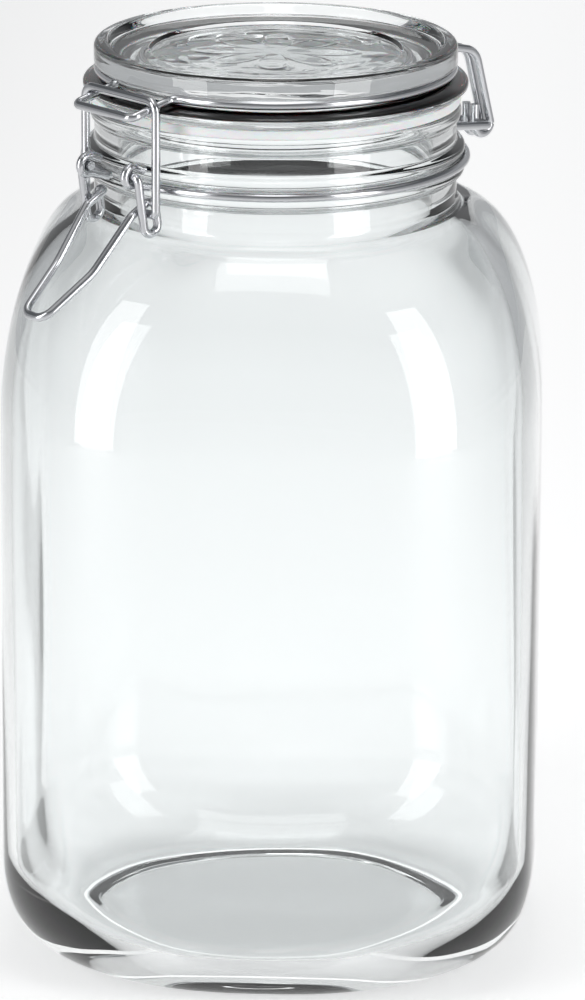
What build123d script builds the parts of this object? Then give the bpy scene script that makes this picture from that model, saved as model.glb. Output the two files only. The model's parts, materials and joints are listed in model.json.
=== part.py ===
from build123d import *
from math import asin, cos, degrees, radians, sin, sqrt, tan
import os

# Clip-top glass jar: a square glass body with a round neck, a glass lid on a rubber ring,
# and four bent steel wires that hinge the lid and clamp it down.
# Z is up, the jar stands on Z = 0 and its faces look along X and Y. The latch is over the
# corner towards -X -Y and the hinge is over the corner opposite.

# Driving sizes, in millimetres.
BODY_SIDE = 149.0
BODY_CORNER = 50.0
BODY_HEIGHT = 156.0
SHOULDER_HEIGHT = 56.0
HEEL = 30.0
WALL = 3.8
FLOOR = 7.0
INNER_HEEL = 26.0
FOOT_RADIUS = 56.0
FOOT_RING = 3.0
PUSH_UP = 2.5
PUSH_UP_SLOPE = 4.0

BEAD_RISE = 2.7
BEAD_HEIGHT = 4.0
LIP_ROUND = 1.0
NECK_RADIUS = 50.0
NECK_WALL = 6.5
NECK_HEIGHT = 28.4
BEAD = 2.2
GROOVE_DEPTH = 0.9
GROOVE_RISE = 13.0

GASKET_THICK = 2.8
GASKET_ROUND = 0.6
GASKET_LIP = 1.0
LID_OVERHANG = 3.0
SKIRT_TUCK = 1.7
SKIRT_EDGE = 3.2
LID_SKIRT = 5.0
RIM_WIDTH = 3.6
RIM_SLOPE = 2.0
RIM_ROUND = 1.3
LEDGE_DEPTH = 2.5
LEDGE_SLOPE = 1.0
DISH_EDGE = 16.0
DISH_DEPTH = 3.3
LID_HEIGHT = 13.8
LID_PLATE = 6.6
PLUG_DEPTH = 6.6
PLUG_GAP = 1.1
PLUG_WALL = 4.6
PLUG_DRAFT = 1.8

WIRE = 2.4
PLAY = 0.06
REST_GAP = 0.1
SIDE_GAP = 0.3
LATCH_TURN = 45.0

EYE_HALF_SPAN = 9.1
EYE_REACH = 10.3
EYE_RISE = 4.5
LEVER_DROP = 16.1
LEVER_LEAN = 0.15
CROSS_DROP = 7.9
EYE_TAIL = 4.4
PIN_TAIL = 0.6
PIN_BEND_INSIDE = 0.2
STEP_BEND_INSIDE = 0.05
HANDLE_BEND = 18.0
HANDLE_NECK_DROP = 11.0
HANDLE_KINK_OVER = 0.6552
HANDLE_KINK_DROP = 25.2
HANDLE_TAPER = 0.82
TIP_HALF_SPAN = 4.2
HANDLE_TIP_OVER = 1.0765
HANDLE_DROP = 36.0
NOSE_REACH = 12.5
NOSE_SLOPE = 0.22
HINGE_REACH = 27.0
HINGE_DROP = 3.0
HOOK_HALF_SPAN = 1.75
HOOK_RADIUS = 3.0
HOOK_TAIL = 6.0
LEG_DROP = 6.0
BAR_HALF_SPAN = 5.0
LEG_BEND = 6.0
BEND = 3.0

STEP = 0.5
OVERLAP = 2.0
SECTION_ANGLES = (0, 18, 34, 48, 60, 71, 81, 90)

# Heights that follow from them.
INNER_SIDE = BODY_SIDE - 2 * WALL
INNER_CORNER = BODY_CORNER - WALL
CORNER_OUT = BODY_CORNER + (BODY_SIDE / 2 - BODY_CORNER) * sqrt(2)
PUSH_UP_RADIUS = FOOT_RADIUS - FOOT_RING
NECK_BASE = BODY_HEIGHT + SHOULDER_HEIGHT
NECK_RING_Z = NECK_BASE + GROOVE_RISE
LIP_Z = NECK_BASE + NECK_HEIGHT
SEAT_Z = LIP_Z + GASKET_THICK
LID_TOP = SEAT_Z + LID_HEIGHT
WIRE_RADIUS = WIRE / 2
LID_RING_Z = SEAT_Z + LID_SKIRT + WIRE_RADIUS + REST_GAP
NECK_RING_RADIUS = NECK_RADIUS + BEAD - GROOVE_DEPTH + WIRE_RADIUS
FLANGE_RADIUS = NECK_RADIUS + LID_OVERHANG
WAIST_RADIUS = NECK_RADIUS - WIRE - REST_GAP
LID_RING_RADIUS = WAIST_RADIUS + REST_GAP + WIRE_RADIUS
MOUTH_RADIUS = NECK_RADIUS - NECK_WALL
PLUG_RADIUS = MOUTH_RADIUS - PLUG_GAP
TOP_RADIUS = NECK_RADIUS
DISH_RADIUS = TOP_RADIUS - DISH_EDGE
FLANGE_Z = LID_RING_Z + WIRE_RADIUS + REST_GAP
LEDGE_Z = LID_TOP - LEDGE_DEPTH
DISH_Z = LID_TOP - DISH_DEPTH
HINGE_Z = NECK_RING_Z - HINGE_DROP
HINGE_OUT = NECK_RADIUS + HINGE_REACH

# The latch: the lever turns in the eyes of the neck ring, and the bail in the lever's hairpins.
EYE_Z = NECK_RING_Z + EYE_RISE
EYE_OUT = NECK_RADIUS + EYE_REACH
NOSE_OUT = NECK_RADIUS + NOSE_REACH
EYE_RADIUS = WIRE + PLAY
LEVER_HALF_SPAN = EYE_HALF_SPAN + WIRE + SIDE_GAP
BAIL_HALF_SPAN = LEVER_HALF_SPAN + WIRE + SIDE_GAP
NOSE_HALF_SPAN = BAIL_HALF_SPAN - WIRE - SIDE_GAP
HAIRPIN_SPAN = 2 * (WIRE + PLAY)
HAIRPIN_OUT = EYE_OUT - LEVER_LEAN * LEVER_DROP
CROSS_Z = EYE_Z - CROSS_DROP
CROSS_OUT = EYE_OUT - LEVER_LEAN * CROSS_DROP - HAIRPIN_SPAN
BAIL_PIN_Z = CROSS_Z - WIRE - SIDE_GAP
BAIL_OUT = EYE_OUT - LEVER_LEAN * (EYE_Z - BAIL_PIN_Z) - HAIRPIN_SPAN / 2
HANDLE_HALF_SPAN = EYE_HALF_SPAN
# The handle lies over the shoulder, which is the span from the neck to the body's corner.
SHOULDER_SPAN = CORNER_OUT - NECK_RADIUS
HANDLE_KINK_OUT = NECK_RADIUS + HANDLE_KINK_OVER * SHOULDER_SPAN
HANDLE_TIP_OUT = NECK_RADIUS + HANDLE_TIP_OVER * SHOULDER_SPAN
PIN_BEND = WIRE_RADIUS + PIN_BEND_INSIDE
STEP_BEND = WIRE_RADIUS + STEP_BEND_INSIDE


def bent_wire(points, radii):
    """A round wire along straight runs joined by bends."""
    with BuildPart() as wire:
        with BuildLine() as route:
            FilletPolyline(*points, radius=radii)
        with BuildSketch(Plane(origin=route.line @ 0, z_dir=route.line % 0)):
            Circle(WIRE_RADIUS)
        sweep()
    return wire.part.rotate(Axis.Z, LATCH_TURN)


def mirrored(points):
    """The points of one half of a wire, then those of the other half from its middle back."""
    return points + [(x, -y, z) for x, y, z in reversed(points)]


def on_side(points, side):
    """The points on one side of the middle, or the same on the other."""
    return [(x, side * y, z) for x, y, z in points]


def ring_exit(radius, half_span):
    """Where a ring's wire leaves it on the tangent to turn outwards half_span from the middle.

    Returns the angle from the middle and how far out the turn is.
    """
    angle = asin((half_span + BEND) / radius)
    return degrees(angle), radius * cos(angle) + BEND * tan(angle)


def on_ring(radius, angle, z):
    """A point at a radius from the jar's axis, so many degrees round from +X."""
    return radius * cos(radians(angle)), radius * sin(radians(angle)), z


def ring_arc(radius, z, start, end):
    """A wire bent round the jar's axis, from start to end degrees round from the hinge."""
    across = (sin(radians(start + LATCH_TURN)), -cos(radians(start + LATCH_TURN)), 0)
    with BuildPart() as arc:
        with BuildSketch(Plane(on_ring(radius, start + LATCH_TURN, z), z_dir=across)):
            Circle(WIRE_RADIUS)
        revolve(axis=Axis.Z, revolution_arc=end - start)
    return arc.part


def outline(side, corner, z):
    """A square with rounded corners, lying at height z."""
    with BuildSketch(Plane.XY.offset(z)) as square:
        RectangleRounded(side, side, corner)
    return square.sketch


def square_to_round(side, corner, z, rise, radius):
    """Sections from square at height z to round, with a quarter ellipse for their profile."""
    straight = side / 2 - corner
    sections = []
    for angle in SECTION_ANGLES:
        share = cos(radians(angle))
        half = radius + (side / 2 - radius) * share
        flat = STEP + (straight - STEP) * share
        sections.append(outline(2 * half, half - flat, z + rise * sin(radians(angle))))
    return sections


def band(radius, z, stand, height):
    """The section of a rounded band that stands out from a radius."""
    with BuildSketch(Plane.XZ) as section:
        with Locations((radius, z)):
            Ellipse(stand, height / 2)
    return section.sketch


# The space inside the jar.
with BuildPart() as cavity:
    with BuildSketch(Plane.XY.offset(FLOOR + INNER_HEEL)):
        RectangleRounded(INNER_SIDE, INNER_SIDE, INNER_CORNER)
    extrude(amount=BODY_HEIGHT - FLOOR - INNER_HEEL)
    loft(square_to_round(INNER_SIDE, INNER_CORNER, FLOOR + INNER_HEEL, -INNER_HEEL, FOOT_RADIUS - WALL))
    loft(square_to_round(INNER_SIDE, INNER_CORNER, BODY_HEIGHT, SHOULDER_HEIGHT - WALL, MOUTH_RADIUS + STEP))
    with BuildSketch(Plane.XY.offset(NECK_BASE - WALL - OVERLAP)):
        Circle(MOUTH_RADIUS)
    extrude(amount=NECK_HEIGHT + WALL + 2 * OVERLAP)

# The jar body is pressed and blown in one piece.
with BuildPart() as jar_body:
    with BuildSketch(Plane.XY.offset(HEEL)):
        RectangleRounded(BODY_SIDE, BODY_SIDE, BODY_CORNER)
    extrude(amount=BODY_HEIGHT - HEEL)
    loft(square_to_round(BODY_SIDE, BODY_CORNER, HEEL, -HEEL, FOOT_RADIUS + STEP))
    loft(square_to_round(BODY_SIDE, BODY_CORNER, BODY_HEIGHT, SHOULDER_HEIGHT, NECK_RADIUS + STEP))
    with BuildSketch(Plane.XY.offset(NECK_BASE - OVERLAP)):
        Circle(NECK_RADIUS)
    extrude(amount=NECK_HEIGHT + OVERLAP)
    fillet(jar_body.faces().sort_by(Axis.Z)[-1].edges(), LIP_ROUND)
    for rise in (-BEAD_RISE, BEAD_RISE):
        revolve(band(NECK_RADIUS, NECK_RING_Z + rise, BEAD, BEAD_HEIGHT), axis=Axis.Z)
    revolve(band(NECK_RADIUS, LIP_Z - BEAD_RISE, BEAD / 2, BEAD_HEIGHT), axis=Axis.Z)
    with BuildSketch(Plane.XY.offset(NECK_RING_Z)):
        Circle(NECK_RING_RADIUS - WIRE_RADIUS)
    extrude(amount=BEAD_RISE, both=True)
    with BuildSketch(Plane.XZ):
        with Locations((NECK_RING_RADIUS, NECK_RING_Z)):
            Circle(WIRE_RADIUS + PLAY)
    revolve(axis=Axis.Z, mode=Mode.SUBTRACT)
    add(cavity.part, mode=Mode.SUBTRACT)
    with Locations((0, 0, PUSH_UP / 2)):
        Cone(PUSH_UP_RADIUS, PUSH_UP_RADIUS - PUSH_UP_SLOPE, PUSH_UP, mode=Mode.SUBTRACT)

# The lid is one pressed piece: a plug that fills the mouth, a skirt that presses the gasket,
# a waist for the lid ring, and a top flange with a rolled rim round a shallow dish.
with BuildPart() as lid:
    with BuildSketch(Plane.XZ):
        with BuildLine():
            Polyline(
                (0, DISH_Z - LID_PLATE),
                (PLUG_RADIUS - PLUG_WALL, DISH_Z - LID_PLATE),
                (PLUG_RADIUS - PLUG_WALL, SEAT_Z - PLUG_DEPTH),
                (PLUG_RADIUS - PLUG_DRAFT, SEAT_Z - PLUG_DEPTH),
                (PLUG_RADIUS, SEAT_Z),
                (FLANGE_RADIUS - SKIRT_TUCK, SEAT_Z),
                (FLANGE_RADIUS, SEAT_Z + SKIRT_EDGE / 2),
                (FLANGE_RADIUS, SEAT_Z + SKIRT_EDGE),
                (WAIST_RADIUS, SEAT_Z + LID_SKIRT),
                (WAIST_RADIUS, FLANGE_Z),
                (TOP_RADIUS, FLANGE_Z),
                (TOP_RADIUS, LID_TOP),
                (TOP_RADIUS - RIM_WIDTH, LID_TOP),
                (TOP_RADIUS - RIM_WIDTH - RIM_SLOPE, LEDGE_Z),
                (DISH_RADIUS + LEDGE_SLOPE, LEDGE_Z),
                (DISH_RADIUS, DISH_Z),
                (0, DISH_Z),
                close=True,
            )
        make_face()
    revolve(axis=Axis.Z)
    rim = lid.edges().filter_by(GeomType.CIRCLE).filter_by_position(Axis.Z, LID_TOP - 0.01, LID_TOP + 0.01)
    fillet(rim, RIM_ROUND)

# The gasket is a flat rubber ring that stays on the plug when the lid is raised.
with BuildPart() as gasket:
    with BuildSketch(Plane.XY.offset(LIP_Z)):
        Circle(NECK_RADIUS + GASKET_LIP)
        Circle(PLUG_RADIUS + PLAY, mode=Mode.SUBTRACT)
    extrude(amount=GASKET_THICK)
    fillet(gasket.faces().sort_by(Axis.Z)[0].edges(), GASKET_ROUND)

# Wires are laid out with the latch towards -X and the hinge towards +X, then turned together.
# The lid ring lies round the lid's waist. Its front is bent out into a nose for the bail, and its
# two ends run back side by side, down, and round the hinge bar in open hooks.
nose_angle, nose_root = ring_exit(LID_RING_RADIUS, NOSE_HALF_SPAN)
hook_angle, hook_root = ring_exit(LID_RING_RADIUS, HOOK_HALF_SPAN)
nose = bent_wire(
    mirrored(
        [
            on_ring(LID_RING_RADIUS, 180 - nose_angle, LID_RING_Z),
            (-nose_root, NOSE_HALF_SPAN, LID_RING_Z),
            (-NOSE_OUT, NOSE_HALF_SPAN, LID_RING_Z - NOSE_SLOPE * (NOSE_OUT - nose_root)),
        ]
    ),
    [BEND - SIDE_GAP, WIRE, WIRE, BEND - SIDE_GAP],
)
hook_inner = HINGE_OUT - HOOK_RADIUS
hook_outer = HINGE_OUT + HOOK_RADIUS
hook_points = [
    on_ring(LID_RING_RADIUS, hook_angle, LID_RING_Z),
    (hook_root, HOOK_HALF_SPAN, LID_RING_Z),
    (hook_inner, HOOK_HALF_SPAN, LID_RING_Z - LEG_DROP),
    (hook_outer, HOOK_HALF_SPAN, HINGE_Z),
    (hook_outer, HOOK_HALF_SPAN, HINGE_Z - HOOK_RADIUS),
    (hook_inner, HOOK_HALF_SPAN, HINGE_Z - HOOK_RADIUS),
    (hook_inner, HOOK_HALF_SPAN, HINGE_Z + HOOK_TAIL),
]
hook_bends = [BEND - SIDE_GAP, LEG_BEND, BEND / 2, HOOK_RADIUS - PLAY, HOOK_RADIUS - PLAY]

# The neck ring lies in the groove. It has a straight hinge bar at the back and ends in two eyes
# that stand up in front of the neck, each rolled upwards and left open towards the jar.
eye_angle, eye_root = ring_exit(NECK_RING_RADIUS, EYE_HALF_SPAN)
bar_angle, bar_root = ring_exit(NECK_RING_RADIUS, BAR_HALF_SPAN)
eye_points = [
    on_ring(NECK_RING_RADIUS, 180 - eye_angle, NECK_RING_Z),
    (-eye_root, EYE_HALF_SPAN, NECK_RING_Z),
    (-EYE_OUT + EYE_RADIUS / 2, EYE_HALF_SPAN, EYE_Z - EYE_RADIUS),
    (-EYE_OUT - EYE_RADIUS, EYE_HALF_SPAN, EYE_Z - EYE_RADIUS),
    (-EYE_OUT - EYE_RADIUS, EYE_HALF_SPAN, EYE_Z + EYE_RADIUS),
    (-EYE_OUT + EYE_RADIUS / 2, EYE_HALF_SPAN, EYE_Z + EYE_RADIUS),
    (-EYE_OUT + EYE_TAIL, EYE_HALF_SPAN, EYE_Z + EYE_RADIUS / 2),
]
eye_bends = [BEND - SIDE_GAP, BEND / 2, WIRE, WIRE, BEND / 2]
hinge_bar = bent_wire(
    mirrored(
        [
            on_ring(NECK_RING_RADIUS, bar_angle, NECK_RING_Z),
            (bar_root, BAR_HALF_SPAN, NECK_RING_Z),
            (HINGE_OUT, BAR_HALF_SPAN, HINGE_Z),
        ]
    ),
    [BEND - SIDE_GAP, WIRE - SIDE_GAP, WIRE - SIDE_GAP, BEND - SIDE_GAP],
)

# The lever is one wire. Each end is a pin in an eye; from there it drops, turns up in a hairpin
# that holds the bail, steps inwards and runs down into the long handle over the shoulder.
handle_side = HANDLE_HALF_SPAN * HANDLE_TAPER
lever_wire = bent_wire(
    mirrored(
        [
            (-EYE_OUT, EYE_HALF_SPAN - WIRE_RADIUS - PIN_TAIL, EYE_Z),
            (-EYE_OUT, LEVER_HALF_SPAN, EYE_Z),
            (-HAIRPIN_OUT, LEVER_HALF_SPAN, EYE_Z - LEVER_DROP),
            (-HAIRPIN_OUT + HAIRPIN_SPAN, LEVER_HALF_SPAN, EYE_Z - LEVER_DROP),
            (-CROSS_OUT, LEVER_HALF_SPAN, CROSS_Z),
            (-CROSS_OUT, HANDLE_HALF_SPAN, CROSS_Z),
            (-EYE_OUT, HANDLE_HALF_SPAN, EYE_Z - HANDLE_NECK_DROP),
            (-HANDLE_KINK_OUT, handle_side, EYE_Z - HANDLE_KINK_DROP),
            (-HANDLE_TIP_OUT, TIP_HALF_SPAN, EYE_Z - HANDLE_DROP),
        ]
    ),
    [PIN_BEND, WIRE, WIRE, STEP_BEND, STEP_BEND, BEND, HANDLE_BEND, TIP_HALF_SPAN - PLAY]
    + [TIP_HALF_SPAN - PLAY, HANDLE_BEND, BEND, STEP_BEND, STEP_BEND, WIRE, WIRE, PIN_BEND],
)

# The bail's bar lies across both wires of the nose, just inside its end, and its two ends are
# pins that lie in the hairpins under the lever's cross wires.
nose_at_bail = LID_RING_Z - NOSE_SLOPE * (BAIL_OUT - nose_root)
bail_top = nose_at_bail + (WIRE + PLAY) * sqrt(1 + NOSE_SLOPE**2)
bail_wire = bent_wire(
    mirrored(
        [
            (-BAIL_OUT, LEVER_HALF_SPAN - WIRE_RADIUS - PLAY, BAIL_PIN_Z),
            (-BAIL_OUT, BAIL_HALF_SPAN, BAIL_PIN_Z),
            (-BAIL_OUT, BAIL_HALF_SPAN, bail_top),
        ]
    ),
    [PIN_BEND, BEND, BEND, PIN_BEND],
)

with BuildPart() as lid_ring:
    add(nose)
    for side in (1, -1):
        add(bent_wire(on_side(hook_points, side), hook_bends))
    add(ring_arc(LID_RING_RADIUS, LID_RING_Z, hook_angle, 180 - nose_angle))
    add(ring_arc(LID_RING_RADIUS, LID_RING_Z, 180 + nose_angle, 360 - hook_angle))

with BuildPart() as neck_ring:
    add(hinge_bar)
    for side in (1, -1):
        add(bent_wire(on_side(eye_points, side), eye_bends))
    add(ring_arc(NECK_RING_RADIUS, NECK_RING_Z, bar_angle, 180 - eye_angle))
    add(ring_arc(NECK_RING_RADIUS, NECK_RING_Z, 180 + eye_angle, 360 - bar_angle))

with BuildPart() as lever:
    add(lever_wire)

with BuildPart() as bail:
    add(bail_wire)

os.makedirs("parts", exist_ok=True)
pieces = {
    "jar_body": jar_body,
    "lid": lid,
    "gasket": gasket,
    "lid_ring": lid_ring,
    "neck_ring": neck_ring,
    "lever": lever,
    "bail": bail,
}
for name, piece in pieces.items():
    piece.part.label = name
    export_step(piece.part, f"parts/{name}.step")

print("lever turns at", on_ring(EYE_OUT, 180 + LATCH_TURN, EYE_Z))
print("bail turns at", on_ring(BAIL_OUT, 180 + LATCH_TURN, BAIL_PIN_Z))
print("lid turns at", on_ring(HINGE_OUT, LATCH_TURN, HINGE_Z))
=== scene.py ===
import json
import math

import bmesh
import bpy
import numpy as np
from mathutils import Matrix, Vector


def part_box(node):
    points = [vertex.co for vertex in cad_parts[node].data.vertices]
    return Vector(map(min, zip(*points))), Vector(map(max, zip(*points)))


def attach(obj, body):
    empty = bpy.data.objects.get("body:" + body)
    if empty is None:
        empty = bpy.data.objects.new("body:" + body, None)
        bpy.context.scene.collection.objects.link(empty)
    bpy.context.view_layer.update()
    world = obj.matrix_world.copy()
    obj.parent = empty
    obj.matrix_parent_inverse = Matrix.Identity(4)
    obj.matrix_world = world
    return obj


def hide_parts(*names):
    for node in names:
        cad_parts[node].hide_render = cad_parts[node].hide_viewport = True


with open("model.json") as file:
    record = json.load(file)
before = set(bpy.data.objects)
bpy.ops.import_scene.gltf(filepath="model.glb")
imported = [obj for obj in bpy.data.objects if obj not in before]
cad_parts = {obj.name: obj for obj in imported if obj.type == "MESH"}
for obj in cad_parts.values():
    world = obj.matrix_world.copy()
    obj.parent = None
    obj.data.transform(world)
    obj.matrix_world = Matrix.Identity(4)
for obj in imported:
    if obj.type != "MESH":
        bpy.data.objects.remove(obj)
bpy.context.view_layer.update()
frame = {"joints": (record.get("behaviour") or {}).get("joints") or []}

# The jar body: clear soda-lime glass, blown in a mould from a pressed blank, so that its
# outside is true and its inside is a little uneven. It is square with round corners, and
# turns round at the foot and at the neck, where two beads hold the neck ring between them.
MM = 0.001
COLUMNS = 288
body_half = 74.5 * MM
body_flat = 24.5 * MM
body_bottom = 30 * MM
body_top = 156 * MM
foot_radius = 56 * MM
foot_ring = 3 * MM
push_up = 2.5 * MM
push_up_slope = 4 * MM
wall = 3.8 * MM
floor_thickness = 7 * MM
neck_radius = 50 * MM
mouth_radius = 43.5 * MM
shoulder_height = 56 * MM
bead = 2.2 * MM
bead_rise = 2.7 * MM
bead_half_height = 2 * MM
wire_radius = 1.2 * MM
groove_radius = 51.3 * MM
lip_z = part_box("jar_body")[1].z
pivots = {joint["name"]: Vector(joint["pos_m"]) for joint in frame["joints"]}
eye_rise = 4.5 * MM
neck_ring_z = pivots["lever_pivot"].z - eye_rise
neck_base = body_top + shoulder_height
inner_half = body_half - wall
inner_bottom = floor_thickness + 26 * MM
inner_foot = foot_radius - wall


def ring(half, flat, z, columns=COLUMNS):
    """Points round the axis on a square with round corners, or on a circle where flat is 0."""
    turn = np.arange(columns) * 2 * math.pi / columns
    sharpness = 8
    across = np.cos(turn)
    along = np.sin(turn)
    x = flat * np.tanh(sharpness * across) + (half - flat) * across
    y = flat * np.tanh(sharpness * along) + (half - flat) * along
    return np.stack([x, y, np.full(columns, z)], axis=1)


def rounded(corners, steps=6):
    """A profile of (radius, height) points, with an arc at each corner that has a bend."""
    path = []
    for index, (radius, z, bend) in enumerate(corners):
        here = Vector((radius, z))
        if bend == 0:
            path.append(here)
            continue
        before = (Vector(corners[index - 1][:2]) - here).normalized()
        after = (Vector(corners[(index + 1) % len(corners)][:2]) - here).normalized()
        half_angle = before.angle(after) / 2
        centre = here + (before + after).normalized() * bend / math.sin(half_angle)
        start = here + before * bend / math.tan(half_angle) - centre
        end = here + after * bend / math.tan(half_angle) - centre
        turn = start.angle(end)
        for step in range(steps + 1):
            share = step / steps
            mix = start * math.sin((1 - share) * turn) + end * math.sin(share * turn)
            path.append(centre + mix / math.sin(turn))
    return path


def spread(path, longest):
    """The same profile with long runs divided, so that shading stays true beside the arcs."""
    points = [path[0]]
    for end in path[1:]:
        start = points[-1]
        parts = max(1, math.ceil((end - start).length / longest))
        points += [start.lerp(end, part / parts) for part in range(1, parts + 1)]
    return points


def quarter(count, first=0.0, last=90.0):
    """Angles in radians through a quarter turn, or part of one."""
    return np.radians(np.linspace(first, last, count))


def skin(name, rows, closed=False):
    """A mesh over rings of points. It ends in a point on the axis at both ends, or closes on itself."""
    columns = len(rows[0])
    points = [tuple(point) for row in rows for point in row]
    faces = []
    last = len(rows) if closed else len(rows) - 1
    for row in range(last):
        for column in range(columns):
            beside = (column + 1) % columns
            above = (row + 1) % len(rows)
            faces.append(
                (
                    row * columns + column,
                    row * columns + beside,
                    above * columns + beside,
                    above * columns + column,
                )
            )
    if not closed:
        for row in (0, len(rows) - 1):
            points.append((0, 0, rows[row][0][2]))
            for column in range(columns):
                beside = (column + 1) % columns
                faces.append((row * columns + column, row * columns + beside, len(points) - 1))
    mesh = bpy.data.meshes.new(name)
    mesh.from_pydata(points, [], faces)
    solid = bmesh.new()
    solid.from_mesh(mesh)
    bmesh.ops.recalc_face_normals(solid, faces=solid.faces)
    solid.to_mesh(mesh)
    solid.free()
    mesh.shade_smooth()
    piece = bpy.data.objects.new(name, mesh)
    bpy.context.scene.collection.objects.link(piece)
    return piece


def neck_outside(z):
    """The neck's radius at a height: two beads, with the groove for the neck ring between them."""
    radius = neck_radius
    if abs(z - neck_ring_z) < bead_rise:
        radius = groove_radius
    for centre, stand in (
        (neck_ring_z - bead_rise, bead),
        (neck_ring_z + bead_rise, bead),
        (lip_z - bead_rise, bead / 2),
    ):
        rise = (z - centre) / bead_half_height
        if abs(rise) < 1:
            radius = max(radius, neck_radius + stand * math.sqrt(1 - rise**2))
    off_ring = abs(z - neck_ring_z)
    if off_ring < wire_radius:
        seat = wire_radius - math.sqrt(wire_radius**2 - off_ring**2)
        radius = min(radius, groove_radius + seat)
    return radius


def fire_polished(radii, passes=4):
    """The radii of a profile with its sharp corners softened, as the flame leaves them."""
    for _ in range(passes):
        radii[1:-1] = (radii[:-2] + 2 * radii[1:-1] + radii[2:]) / 4
    return radii


outside = []
foot_land = 0.15 * MM
foot_profile = rounded(
    [
        (1 * MM, push_up, 0),
        (foot_radius - foot_ring - push_up_slope, push_up, 7 * MM),
        (foot_radius - foot_ring, foot_land, 5 * MM),
        (foot_radius - foot_ring / 2, 0, 0),
    ]
)
for radius, z in spread(foot_profile, 4 * MM):
    outside.append(ring(radius, 0, z))
for angle in quarter(26, 90, 0):
    half = foot_radius + (body_half - foot_radius) * math.cos(angle)
    z = body_bottom * (1 - math.sin(angle))
    outside.append(ring(half, body_flat * math.cos(angle), z))
for z in np.linspace(body_bottom, body_top, 34)[1:-1]:
    outside.append(ring(body_half, body_flat, z))
shoulder_end = 81
for angle in quarter(40, 0, shoulder_end):
    half = neck_radius + (body_half - neck_radius) * math.cos(angle)
    z = body_top + shoulder_height * math.sin(angle)
    outside.append(ring(half, body_flat * math.cos(angle), z))
shoulder_edge = neck_radius + (body_half - neck_radius) * math.cos(math.radians(shoulder_end))
neck_foot = rounded(
    [
        (shoulder_edge, outside[-1][0][2], 0),
        (neck_radius, neck_base, 3 * MM),
        (neck_radius, neck_ring_z - 2 * bead_rise, 0),
    ]
)
for radius, z in neck_foot[1:]:
    outside.append(ring(radius, 0, z))
lip_round = 1.4 * MM
neck_heights = np.linspace(neck_ring_z - 2 * bead_rise, lip_z - lip_round, 110)[1:]
neck_radii = fire_polished(np.array([neck_outside(z) for z in neck_heights]))
for radius, z in zip(neck_radii, neck_heights):
    outside.append(ring(radius, 0, z))
lip = rounded(
    [
        (neck_radii[-1], lip_z - lip_round, 0),
        (neck_radii[-1], lip_z, lip_round * 0.98),
        (mouth_radius, lip_z, lip_round),
        (mouth_radius, neck_base - 2 * MM, 0),
    ],
    steps=8,
)
for radius, z in spread(lip, 2 * MM)[1:]:
    outside.append(ring(radius, 0, z))


def uneven(row):
    """A ring of the inside, pushed in and out by slow waves, as blown glass settles."""
    turn = np.arctan2(row[:, 1], row[:, 0])
    z = row[0][2] / MM
    broad = 0.16 * np.sin(3 * turn + z / 31 + 0.6)
    middling = 0.12 * np.sin(7 * turn - z / 43)
    fine = 0.08 * np.sin(12 * turn + 1.7 + z / 67)
    depth = broad + middling + fine + 0.10 * math.sin(z / 17)
    row[:, :2] *= 1 + (depth * MM / np.hypot(row[:, 0], row[:, 1]))[:, None]
    return row


inside = []
inner_shoulder = shoulder_height - wall
for angle in quarter(40, 84, 0):
    half = mouth_radius + (inner_half - mouth_radius) * math.cos(angle)
    z = body_top + inner_shoulder * math.sin(angle)
    inside.append(ring(half, body_flat * math.cos(angle), z))
for z in np.linspace(body_top, inner_bottom, 34)[1:-1]:
    inside.append(ring(inner_half, body_flat, z))
for angle in quarter(26, 0, 90):
    half = inner_foot + (inner_half - inner_foot) * math.cos(angle)
    z = inner_bottom - (inner_bottom - floor_thickness) * math.sin(angle)
    inside.append(ring(half, body_flat * math.cos(angle), z))
for share in (0.9, 0.8, 0.65, 0.5, 0.35, 0.2, 0.05):
    inside.append(ring(inner_foot * share, 0, floor_thickness))
jar_body = skin("jar_body_glass", outside + [uneven(row) for row in inside])


def linear(hex_colour):
    """An sRGB hex colour as linear RGBA."""
    channels = [int(hex_colour[start : start + 2], 16) / 255 for start in (1, 3, 5)]
    return [c / 12.92 if c <= 0.04045 else ((c + 0.055) / 1.055) ** 2.4 for c in channels] + [1]


def node(tree, kind, settings=None, **links):
    """Adds a node. Settings go on it, and each link names an input and what feeds it."""
    made = tree.nodes.new(kind)
    for key, value in (settings or {}).items():
        if key in made.inputs:
            made.inputs[key].default_value = value
        else:
            setattr(made, key, value)
    for key, source in links.items():
        tree.links.new(source, made.inputs[key.replace("_", " ")])
    return made


def material(name, **values):
    """A material with its Principled shader, whose plain values are set here."""
    made = bpy.data.materials.new(name)
    made.use_nodes = True
    shader = made.node_tree.nodes["Principled BSDF"]
    for key, value in values.items():
        shader.inputs[key.replace("_", " ")].default_value = value
    return made, shader


# Blown soda-lime glass: clear and glossy, with a slow ripple left by the mould.
jar_glass, shader = material(
    "blown soda-lime glass",
    Base_Color=linear("#FBFDFD"),
    Roughness=0.0,
    IOR=1.52,
    Transmission_Weight=1.0,
)
ripple_size = 38 * MM
place = node(jar_glass.node_tree, "ShaderNodeTexCoord")
stretch = node(
    jar_glass.node_tree,
    "ShaderNodeMapping",
    {"Scale": (1, 1, 0.35)},
    Vector=place.outputs["Object"],
)
ripple = node(
    jar_glass.node_tree,
    "ShaderNodeTexNoise",
    {"Scale": 1 / ripple_size, "Detail": 1.0, "Roughness": 0.4},
    Vector=stretch.outputs["Vector"],
)
bump = node(
    jar_glass.node_tree,
    "ShaderNodeBump",
    {"Strength": 1.0, "Distance": 0.35 * MM},
    Height=ripple.outputs["Fac"],
)
jar_glass.node_tree.links.new(bump.outputs["Normal"], shader.inputs["Normal"])
jar_body.data.materials.append(jar_glass)
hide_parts("jar_body")
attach(jar_body, "jar")

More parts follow.
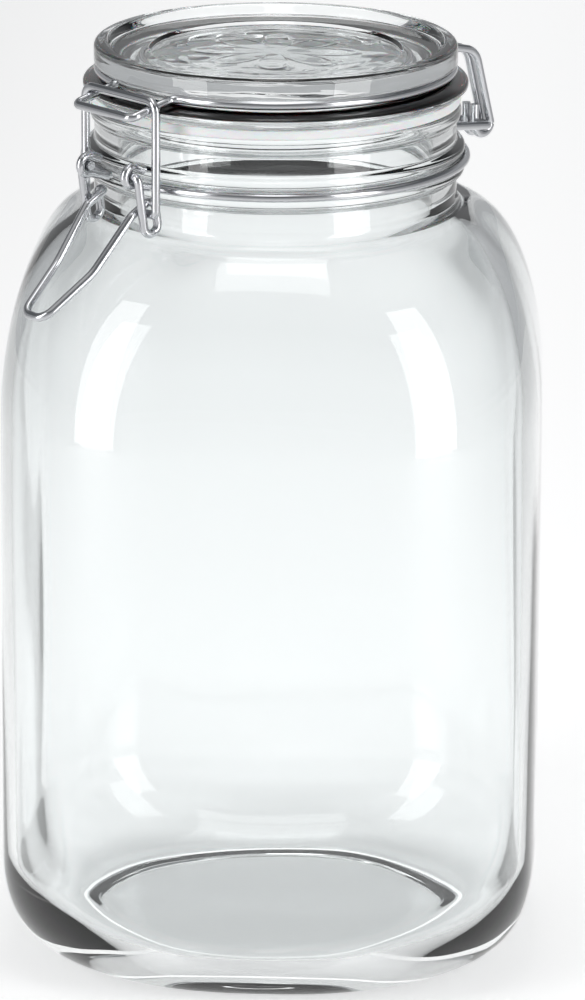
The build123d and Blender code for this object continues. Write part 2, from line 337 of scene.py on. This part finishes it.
# The lid: the same glass, pressed in one piece. A plug drops into the mouth, a skirt presses the
# gasket, the lid ring lies round the waist above it, and a rolled rim stands round a shallow dish.
seat_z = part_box("gasket")[1].z
lid_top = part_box("lid")[1].z
flange_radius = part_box("lid")[1].x
skirt_height = 5 * MM
rest_gap = 0.1 * MM
lid_ring_z = seat_z + skirt_height + wire_radius + rest_gap
flange_z = lid_ring_z + wire_radius + rest_gap
waist_radius = neck_radius - 2 * wire_radius - rest_gap
plug_radius = mouth_radius - 1.1 * MM
plug_wall = 4.6 * MM
plug_depth = 6.6 * MM
plate = 6.6 * MM
rim_width = 3.6 * MM
rim_slope = 2 * MM
ledge_slope = 1 * MM
skirt_tuck = 1.7 * MM
skirt_edge = 3.2 * MM
plug_draft = 1.8 * MM
ledge_z = lid_top - 2.5 * MM
dish_z = lid_top - 3.3 * MM
dish_radius = 34 * MM
lid_profile = rounded(
    [
        (2 * MM, dish_z - plate, 0),
        (plug_radius - plug_wall, dish_z - plate, 2 * MM),
        (plug_radius - plug_wall, seat_z - plug_depth, 0.9 * MM),
        (plug_radius - plug_draft, seat_z - plug_depth, 0.9 * MM),
        (plug_radius, seat_z, 0.8 * MM),
        (flange_radius - skirt_tuck, seat_z, 0.6 * MM),
        (flange_radius, seat_z + skirt_edge / 2, 1.1 * MM),
        (flange_radius, seat_z + skirt_edge, 1.1 * MM),
        (waist_radius, seat_z + skirt_height, 0.7 * MM),
        (waist_radius, flange_z, 0.7 * MM),
        (neck_radius, flange_z, 0.7 * MM),
        (neck_radius, lid_top, 1.7 * MM),
        (neck_radius - rim_width, lid_top, 1.5 * MM),
        (neck_radius - rim_width - rim_slope, ledge_z, 1.2 * MM),
        (dish_radius + ledge_slope, ledge_z, 0.5 * MM),
        (dish_radius, dish_z, 0.4 * MM),
        (2 * MM, dish_z, 0),
    ]
)
lid_rows = [ring(radius, 0, z) for radius, z in spread(lid_profile, 0.9 * MM)]

# A plain rosette of eight petals is pressed into the dish, inside a thin raised ring.
petals = 8
relief = 0.05 * MM
petal_root = 6 * MM
petal_length = 16 * MM
petal_line = 1.1 * MM
ring_place = 28 * MM
ring_line = 0.9 * MM
faded_middle = 5 * MM
for row in lid_rows:
    radius = row[0][0]
    if row[0][2] > ledge_z - 1.2 * MM and radius < dish_radius - 2 * MM:
        turn = np.arctan2(row[:, 1], row[:, 0])
        petal = np.abs(np.cos(petals / 2 * turn)) ** 0.7
        edge = radius - petal_root - petal_length * petal
        outline = np.exp(-((edge / petal_line) ** 2))
        outline += math.exp(-(((radius - ring_place) / ring_line) ** 2))
        row[:, 2] += relief * outline * min(1, radius / faded_middle)
lid = skin("lid_glass_disc", lid_rows)

# Pressed soda-lime glass: clear, with a finer ripple than blown glass from the plunger's chill.
lid_glass, shader = material(
    "pressed soda-lime glass",
    Base_Color=linear("#FBFDFD"),
    Roughness=0.0,
    IOR=1.52,
    Transmission_Weight=1.0,
)
chill_size = 14 * MM
place = node(lid_glass.node_tree, "ShaderNodeTexCoord")
chill = node(
    lid_glass.node_tree,
    "ShaderNodeTexNoise",
    {"Scale": 1 / chill_size, "Detail": 1.5, "Roughness": 0.45},
    Vector=place.outputs["Object"],
)
bump = node(
    lid_glass.node_tree,
    "ShaderNodeBump",
    {"Strength": 1.0, "Distance": 0.22 * MM},
    Height=chill.outputs["Fac"],
)
lid_glass.node_tree.links.new(bump.outputs["Normal"], shader.inputs["Normal"])
lid.data.materials.append(lid_glass)
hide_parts("lid")
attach(lid, "cover")

# The gasket: a flat ring cut from extruded natural rubber tube, pale and a little translucent.
# It grips the plug and is squeezed between the lid's skirt and the jar's lip.
gasket_low, gasket_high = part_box("gasket")
gasket_inner = plug_radius + 0.06 * MM
gasket_outer = gasket_high.x
gasket_profile = rounded(
    [
        (gasket_inner, gasket_low.z, 0.3 * MM),
        (gasket_outer, gasket_low.z, 0.6 * MM),
        (gasket_outer, gasket_high.z, 0.45 * MM),
        (gasket_inner, gasket_high.z, 0.3 * MM),
    ]
)
gasket_rows = [ring(radius, 0, z) for radius, z in spread(gasket_profile, 1 * MM)]
gasket = skin("gasket_ring", gasket_rows, closed=True)

# Natural rubber, cut with a knife: satin, faintly cloudy, with fine knife lines round its edge.
rubber, shader = material(
    "cut natural rubber",
    IOR=1.52,
    Subsurface_Weight=0.6,
    Subsurface_Scale=1.5 * MM,
)
cloud_size = 9 * MM
line_gap = 0.5 * MM
place = node(rubber.node_tree, "ShaderNodeTexCoord")
cloud = node(
    rubber.node_tree,
    "ShaderNodeTexNoise",
    {"Scale": 1 / cloud_size, "Detail": 3.0},
    Vector=place.outputs["Object"],
)
shade = node(rubber.node_tree, "ShaderNodeMix", {"data_type": "RGBA"}, Factor=cloud.outputs["Fac"])
shade.inputs[6].default_value = linear("#D9DBDC")
shade.inputs[7].default_value = linear("#EDEEEE")
rubber.node_tree.links.new(shade.outputs[2], shader.inputs["Base Color"])
satin = node(
    rubber.node_tree,
    "ShaderNodeMapRange",
    {"To Min": 0.32, "To Max": 0.5},
    Value=cloud.outputs["Fac"],
)
rubber.node_tree.links.new(satin.outputs["Result"], shader.inputs["Roughness"])
squash = node(
    rubber.node_tree,
    "ShaderNodeMapping",
    {"Scale": (0.03, 0.03, 1)},
    Vector=place.outputs["Object"],
)
knife = node(
    rubber.node_tree,
    "ShaderNodeTexNoise",
    {"Scale": 1 / line_gap, "Detail": 2.0},
    Vector=squash.outputs["Vector"],
)
bump = node(
    rubber.node_tree,
    "ShaderNodeBump",
    {"Strength": 0.5, "Distance": 0.1 * MM},
    Height=knife.outputs["Fac"],
)
rubber.node_tree.links.new(bump.outputs["Normal"], shader.inputs["Normal"])
gasket.data.materials.append(rubber)
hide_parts("gasket")
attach(gasket, "cover")

# The neck ring: one spring wire round the neck's groove. At the back it is bent out into the
# hinge bar, and in front its two ends rise and are rolled into the eyes that hold the lever.
latch_turn = math.atan2(pivots["lid_hinge"].y, pivots["lid_hinge"].x)
eye_out = pivots["lever_pivot"].xy.length
eye_z = pivots["lever_pivot"].z
hinge_out = pivots["lid_hinge"].xy.length
hinge_z = pivots["lid_hinge"].z
neck_ring_radius = groove_radius + wire_radius
wire = 2 * wire_radius
play = 0.06 * MM
side_gap = 0.3 * MM
bend = 3 * MM
eye_half_span = 9.1 * MM
eye_tail = 4.4 * MM
bar_half_span = 5 * MM
eye_radius = wire + play


def on_ring(radius, degrees, z):
    """A point on a ring, so many degrees round from the hinge, before the wires are turned."""
    return radius * math.cos(math.radians(degrees)), radius * math.sin(math.radians(degrees)), z


def ring_exit(radius, half_span):
    """Where a ring's wire leaves it to turn outwards half_span from the middle, and how far out."""
    angle = math.asin((half_span + bend) / radius)
    return math.degrees(angle), radius * math.cos(angle) + bend * math.tan(angle)


def ring_run(radius, z, start, end):
    """Corners along a ring, close enough together to look round."""
    count = math.ceil(abs(end - start) / 2.5)
    return [(on_ring(radius, degrees, z), 0) for degrees in np.linspace(start, end, count + 1)]


def mirrored(corners):
    """One half of a wire's corners, then those of the other half from its middle back."""
    return corners + [((x, -y, z), radius) for (x, y, z), radius in reversed(corners)]


def wire_nodes():
    """The tree that bends a wire at its corners and gives it its round section."""
    tree = bpy.data.node_groups.new("bent wire", "GeometryNodeTree")
    sockets = (
        ("Geometry", "NodeSocketGeometry"),
        ("Wire Radius", "NodeSocketFloat"),
        ("Steps in a Bend", "NodeSocketInt"),
        ("Sides", "NodeSocketInt"),
        ("Material", "NodeSocketMaterial"),
    )
    for name, kind in sockets:
        tree.interface.new_socket(name=name, in_out="INPUT", socket_type=kind)
    tree.interface.new_socket(name="Geometry", in_out="OUTPUT", socket_type="NodeSocketGeometry")

    given = node(tree, "NodeGroupInput")
    route = node(tree, "GeometryNodeMeshToCurve", Mesh=given.outputs["Geometry"])
    corner = node(tree, "GeometryNodeInputNamedAttribute", {"data_type": "FLOAT", "Name": "bend"})
    bent = node(
        tree,
        "GeometryNodeFilletCurve",
        {"mode": "POLY"},
        Curve=route.outputs["Curve"],
        Count=given.outputs["Steps in a Bend"],
        Radius=corner.outputs["Attribute"],
    )
    run = node(tree, "GeometryNodeSplineParameter")
    marked = node(
        tree,
        "GeometryNodeStoreNamedAttribute",
        {"data_type": "FLOAT", "domain": "POINT", "Name": "along"},
        Geometry=bent.outputs["Curve"],
        Value=run.outputs["Length"],
    )
    section = node(
        tree,
        "GeometryNodeCurvePrimitiveCircle",
        Resolution=given.outputs["Sides"],
        Radius=given.outputs["Wire Radius"],
    )
    round_way = node(
        tree,
        "GeometryNodeStoreNamedAttribute",
        {"data_type": "FLOAT", "domain": "POINT", "Name": "around"},
        Geometry=section.outputs["Curve"],
        Value=run.outputs["Factor"],
    )
    swept = node(
        tree,
        "GeometryNodeCurveToMesh",
        {"Fill Caps": True},
        Curve=marked.outputs["Geometry"],
        Profile_Curve=round_way.outputs["Geometry"],
    )
    smooth = node(tree, "GeometryNodeSetShadeSmooth", Geometry=swept.outputs["Mesh"])
    real = node(tree, "GeometryNodeRealizeInstances", Geometry=smooth.outputs["Geometry"])
    finished = node(
        tree,
        "GeometryNodeSetMaterial",
        Geometry=real.outputs["Geometry"],
        Material=given.outputs["Material"],
    )
    node(tree, "NodeGroupOutput", Geometry=finished.outputs["Geometry"])
    return tree


# Bright-drawn stainless spring steel: mirror-like, with faint lines along it from the die.
steel, shader = material(
    "bright-drawn stainless steel wire",
    Base_Color=linear("#C6C7CA"),
    Metallic=1.0,
)
line_width = 0.12 * MM
line_length = 6 * MM
along = node(steel.node_tree, "ShaderNodeAttribute", {"attribute_name": "along"})
around = node(steel.node_tree, "ShaderNodeAttribute", {"attribute_name": "around"})
lengthwise = node(steel.node_tree, "ShaderNodeMath", {"operation": "MULTIPLY"})
steel.node_tree.links.new(along.outputs["Fac"], lengthwise.inputs[0])
lengthwise.inputs[1].default_value = 1 / line_length
sideways = node(steel.node_tree, "ShaderNodeMath", {"operation": "MULTIPLY"})
steel.node_tree.links.new(around.outputs["Fac"], sideways.inputs[0])
sideways.inputs[1].default_value = 2 * math.pi * wire_radius / line_width
surface = node(
    steel.node_tree,
    "ShaderNodeCombineXYZ",
    X=lengthwise.outputs["Value"],
    Y=sideways.outputs["Value"],
)
die_lines = node(
    steel.node_tree,
    "ShaderNodeTexNoise",
    {"Scale": 1.0, "Detail": 2.0},
    Vector=surface.outputs["Vector"],
)
dulled = node(
    steel.node_tree,
    "ShaderNodeMapRange",
    {"To Min": 0.07, "To Max": 0.24},
    Value=die_lines.outputs["Fac"],
)
steel.node_tree.links.new(dulled.outputs["Result"], shader.inputs["Roughness"])
bump = node(
    steel.node_tree,
    "ShaderNodeBump",
    {"Strength": 0.25, "Distance": 0.02 * MM},
    Height=die_lines.outputs["Fac"],
)
steel.node_tree.links.new(bump.outputs["Normal"], shader.inputs["Normal"])

bent_wire = wire_nodes()


def make_wire(name, corners, cad_node, body):
    """A wire through corners ((x, y, z), bend radius), turned to the latch's direction."""
    mesh = bpy.data.meshes.new(name + "_route")
    points = [position for position, _ in corners]
    edges = [(index, index + 1) for index in range(len(points) - 1)]
    mesh.from_pydata(points, edges, [])
    bends = mesh.attributes.new("bend", "FLOAT", "POINT")
    bends.data.foreach_set("value", [radius for _, radius in corners])
    mesh.transform(Matrix.Rotation(latch_turn, 4, "Z"))
    route = bpy.data.objects.new(name + "_route", mesh)
    bpy.context.scene.collection.objects.link(route)
    modifier = route.modifiers.new("bent wire", "NODES")
    modifier.node_group = bent_wire
    values = {
        "Wire Radius": wire_radius,
        "Steps in a Bend": 8,
        "Sides": 28,
        "Material": steel,
    }
    for item in bent_wire.interface.items_tree:
        if item.in_out == "INPUT" and item.name in values:
            modifier[item.identifier] = values[item.name]
    evaluated = route.evaluated_get(bpy.context.evaluated_depsgraph_get())
    made = bpy.data.meshes.new_from_object(evaluated)
    solid = bmesh.new()
    solid.from_mesh(made)
    bmesh.ops.recalc_face_normals(solid, faces=solid.faces)
    solid.to_mesh(made)
    solid.free()
    route.modifiers.remove(modifier)
    bpy.data.objects.remove(route)
    made.name = name
    piece = bpy.data.objects.new(name, made)
    bpy.context.scene.collection.objects.link(piece)
    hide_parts(cad_node)
    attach(piece, body)
    return piece


eye_angle, eye_root = ring_exit(neck_ring_radius, eye_half_span)
bar_angle, bar_root = ring_exit(neck_ring_radius, bar_half_span)
eye = [
    ((-eye_out + eye_tail, eye_half_span, eye_z + eye_radius / 2), 0),
    ((-eye_out + eye_radius / 2, eye_half_span, eye_z + eye_radius), bend / 2),
    ((-eye_out - eye_radius, eye_half_span, eye_z + eye_radius), wire),
    ((-eye_out - eye_radius, eye_half_span, eye_z - eye_radius), wire),
    ((-eye_out + eye_radius / 2, eye_half_span, eye_z - eye_radius), bend / 2),
    ((-eye_root, eye_half_span, neck_ring_z), bend - side_gap),
]
hinge_bar = [
    ((bar_root, bar_half_span, neck_ring_z), bend - side_gap),
    ((hinge_out, bar_half_span, hinge_z), wire - side_gap),
]
half_ring = ring_run(neck_ring_radius, neck_ring_z, 180 - eye_angle, bar_angle)
make_wire("neck_ring_wire", mirrored(eye + half_ring + hinge_bar), "neck_ring", "jar")

# The lid ring: one spring wire round the lid's waist. In front it is bent out into the nose that
# the bail pulls on, and at the back its ends run down side by side and hook under the hinge bar.
lid_ring_radius = waist_radius + rest_gap + wire_radius
lever_half_span = eye_half_span + wire + side_gap
nose_half_span = lever_half_span
nose_out = 62.5 * MM
nose_slope = 0.22
hook_half_span = 1.75 * MM
hook_radius = 3 * MM
hook_tail = 6 * MM
leg_drop = 6 * MM
leg_bend = 6 * MM
hook_inner = hinge_out - hook_radius
hook_outer = hinge_out + hook_radius
nose_angle, nose_root = ring_exit(lid_ring_radius, nose_half_span)
hook_angle, hook_root = ring_exit(lid_ring_radius, hook_half_span)
nose_tip_z = lid_ring_z - nose_slope * (nose_out - nose_root)
hook = [
    ((hook_inner, hook_half_span, hinge_z + hook_tail), 0),
    ((hook_inner, hook_half_span, hinge_z - hook_radius), hook_radius - play),
    ((hook_outer, hook_half_span, hinge_z - hook_radius), hook_radius - play),
    ((hook_outer, hook_half_span, hinge_z), bend / 2),
    ((hook_inner, hook_half_span, lid_ring_z - leg_drop), leg_bend),
    ((hook_root, hook_half_span, lid_ring_z), bend - side_gap),
]
nose = [
    ((-nose_root, nose_half_span, lid_ring_z), bend - side_gap),
    ((-nose_out, nose_half_span, nose_tip_z), wire),
]
half_ring = ring_run(lid_ring_radius, lid_ring_z, hook_angle, 180 - nose_angle)
make_wire("lid_ring_wire", mirrored(hook + half_ring + nose), "lid_ring", "cover")

# The lever: one spring wire. Each end is a pin in an eye of the neck ring. From there it drops,
# turns up in a hairpin that holds the bail, steps inwards and runs down into the long handle.
lever_lean = 0.15
lever_drop = 16.1 * MM
cross_drop = 7.9 * MM
hairpin_span = 2 * (wire + play)
hairpin_out = eye_out - lever_lean * lever_drop
hairpin_z = eye_z - lever_drop
cross_out = eye_out - lever_lean * cross_drop - hairpin_span
cross_z = eye_z - cross_drop
pin_tail = 0.6 * MM
pin_start = eye_half_span - wire_radius - pin_tail
pin_bend = 1.4 * MM
step_bend = 1.25 * MM
handle_bend = 18 * MM
kink_out = eye_out + 12.4 * MM
kink_z = eye_z - 25.2 * MM
kink_half_span = 0.82 * eye_half_span
tip_out = eye_out + 27 * MM
tip_z = eye_z - 36 * MM
tip_half_span = 4.2 * MM
handle_neck_drop = 11 * MM
lever = [
    ((-eye_out, pin_start, eye_z), 0),
    ((-eye_out, lever_half_span, eye_z), pin_bend),
    ((-hairpin_out, lever_half_span, hairpin_z), wire),
    ((-hairpin_out + hairpin_span, lever_half_span, hairpin_z), wire),
    ((-cross_out, lever_half_span, cross_z), step_bend),
    ((-cross_out, eye_half_span, cross_z), step_bend),
    ((-eye_out, eye_half_span, eye_z - handle_neck_drop), bend),
    ((-kink_out, kink_half_span, kink_z), handle_bend),
    ((-tip_out, tip_half_span, tip_z), tip_half_span - play),
]
make_wire("lever_wire", mirrored(lever), "lever", "clip_lever")

# The bail: one spring wire. Its bar lies across the nose and pulls it down, and its two ends are
# pins that turn in the lever's hairpins.
bail_out = pivots["bail_pivot"].xy.length
bail_pin_z = pivots["bail_pivot"].z
bail_half_span = lever_half_span + wire + side_gap
nose_at_bail = lid_ring_z - nose_slope * (bail_out - nose_root)
bail_top = nose_at_bail + (wire + play) * math.sqrt(1 + nose_slope**2)
bail = [
    ((-bail_out, lever_half_span - wire_radius - play, bail_pin_z), 0),
    ((-bail_out, bail_half_span, bail_pin_z), pin_bend),
    ((-bail_out, bail_half_span, bail_top), bend),
]
make_wire("bail_wire", mirrored(bail), "bail", "clip_bail")

# The studio: a pale matt floor with a painted glow round the jar, a long soft light overhead and a pale
# room with a darker band.
floor_half = 8.0
floor_mesh = bpy.data.meshes.new("studio_floor")
corners = [(-floor_half, -floor_half, 0), (floor_half, -floor_half, 0)]
corners += [(floor_half, floor_half, 0), (-floor_half, floor_half, 0)]
floor_mesh.from_pydata(corners, [], [(0, 1, 2, 3)])
studio_floor = bpy.data.objects.new("studio_floor", floor_mesh)
bpy.context.scene.collection.objects.link(studio_floor)
# Opal acrylic, white and quite matt. Its emission is a painted pool of light, brightest in a band along
# its middle where the jar stands and dimmer to the sides and in front.
opal, shader = material(
    "opal acrylic with painted glow",
    Base_Color=linear("#E9E9E9"),
    Roughness=0.7,
    Emission_Strength=1.0,
)
# The painted pool of light on the floor: how wide it is, and how bright it is in the middle and far out.
painted_pool_half_width = 0.55
front_falloff = 1.6
painted_pool_brightness = 0.46
painted_pool_far_brightness = 0.22
place = node(opal.node_tree, "ShaderNodeTexCoord")
split = node(opal.node_tree, "ShaderNodeSeparateXYZ", Vector=place.outputs["Object"])
in_front = node(opal.node_tree, "ShaderNodeMath", {"operation": "MINIMUM"})
opal.node_tree.links.new(split.outputs["Y"], in_front.inputs[0])
in_front.inputs[1].default_value = 0.0
nearer = node(opal.node_tree, "ShaderNodeMath", {"operation": "MULTIPLY"})
opal.node_tree.links.new(in_front.outputs["Value"], nearer.inputs[0])
nearer.inputs[1].default_value = front_falloff
aside = node(opal.node_tree, "ShaderNodeCombineXYZ", X=split.outputs["X"], Y=nearer.outputs["Value"])
away = node(
    opal.node_tree,
    "ShaderNodeVectorMath",
    {"operation": "LENGTH"},
    Vector=aside.outputs["Vector"],
)
# Painted light: the floor's emission is bright round the jar and fades outwards, a pool of light painted
# on the floor.
painted_pool_glow = node(
    opal.node_tree,
    "ShaderNodeMapRange",
    {
        "interpolation_type": "SMOOTHSTEP",
        "From Max": painted_pool_half_width,
        "To Min": painted_pool_brightness,
        "To Max": painted_pool_far_brightness,
    },
    Value=away.outputs["Value"],
)
opal.node_tree.links.new(painted_pool_glow.outputs["Result"], shader.inputs["Emission Color"])
floor_mesh.materials.append(opal)


def soft_light(name, width, length, brightness, place, target, spread=180):
    """A rectangular softbox of a given brightness, turned to face a point. The camera doesn't see it."""
    light = bpy.data.lights.new(name, "AREA")
    light.shape = "RECTANGLE"
    light.size = width
    light.size_y = length
    light.energy = brightness * math.pi * width * length
    light.spread = math.radians(spread)
    box = bpy.data.objects.new(name, light)
    bpy.context.scene.collection.objects.link(box)
    facing = (Vector(place) - Vector(target)).to_track_quat("Z", "Y")
    box.matrix_world = Matrix.Translation(place) @ facing.to_matrix().to_4x4()
    box.visible_camera = False


strip_back = 1.3
strip_height = 1.0
soft_light(
    "overhead_light",
    width=0.2,
    length=3.4,
    brightness=1.0,
    place=(0, strip_back, strip_height),
    target=(0, strip_back, 0),
    spread=120,
)
side_out = 0.62
side_front = -0.5
side_height = 0.46
for side, name in ((-1, "left_light"), (1, "right_light")):
    soft_light(
        name,
        width=0.34,
        length=0.9,
        brightness=3.6,
        place=(side * side_out, side_front, side_height),
        target=(0, 0, side_height),
    )

world = bpy.data.worlds.new("studio")
bpy.context.scene.world = world
world.use_nodes = True
direction = node(world.node_tree, "ShaderNodeTexCoord")
height = node(world.node_tree, "ShaderNodeSeparateXYZ", Vector=direction.outputs["Generated"])
shades = node(world.node_tree, "ShaderNodeValToRGB", Fac=height.outputs["Z"])
stops = ((0.0, "#C4C6C8"), (0.34, "#D0D2D4"), (0.44, "#888B8E"), (0.66, "#6A6D70"), (0.85, "#F0F0F0"))
ramp = shades.color_ramp
for stop in stops[1:-1]:
    ramp.elements.new(stop[0])
for element, (position, colour) in zip(ramp.elements, stops):
    element.position = position
    element.color = linear(colour)
backdrop = world.node_tree.nodes["Background"]
backdrop.inputs["Strength"].default_value = 0.72
world.node_tree.links.new(shades.outputs["Color"], backdrop.inputs["Color"])

# The camera stands in front and a little to the right, looking down on the jar's lid.
camera_data = bpy.data.cameras.new("camera")
camera_data.lens = 256.8
camera_data.clip_end = 100
camera = bpy.data.objects.new("camera", camera_data)
bpy.context.scene.collection.objects.link(camera)
camera_side = math.radians(3)
camera_distance = 1.9139
camera_height = 0.6798
pitch_down = 0.2819
yaw_right = 0.0027
roll = 0.0049
camera.location = (
    camera_distance * math.sin(camera_side),
    -camera_distance * math.cos(camera_side),
    camera_height,
)
turn_to_jar = Matrix.Rotation(camera_side - yaw_right, 4, "Z")
look_down = Matrix.Rotation(math.pi / 2 - pitch_down, 4, "X")
lean = Matrix.Rotation(roll, 4, "Z")
camera.matrix_world = Matrix.Translation(camera.location) @ turn_to_jar @ look_down @ lean
bpy.context.scene.camera = camera
bpy.context.scene.view_settings.view_transform = "Standard"
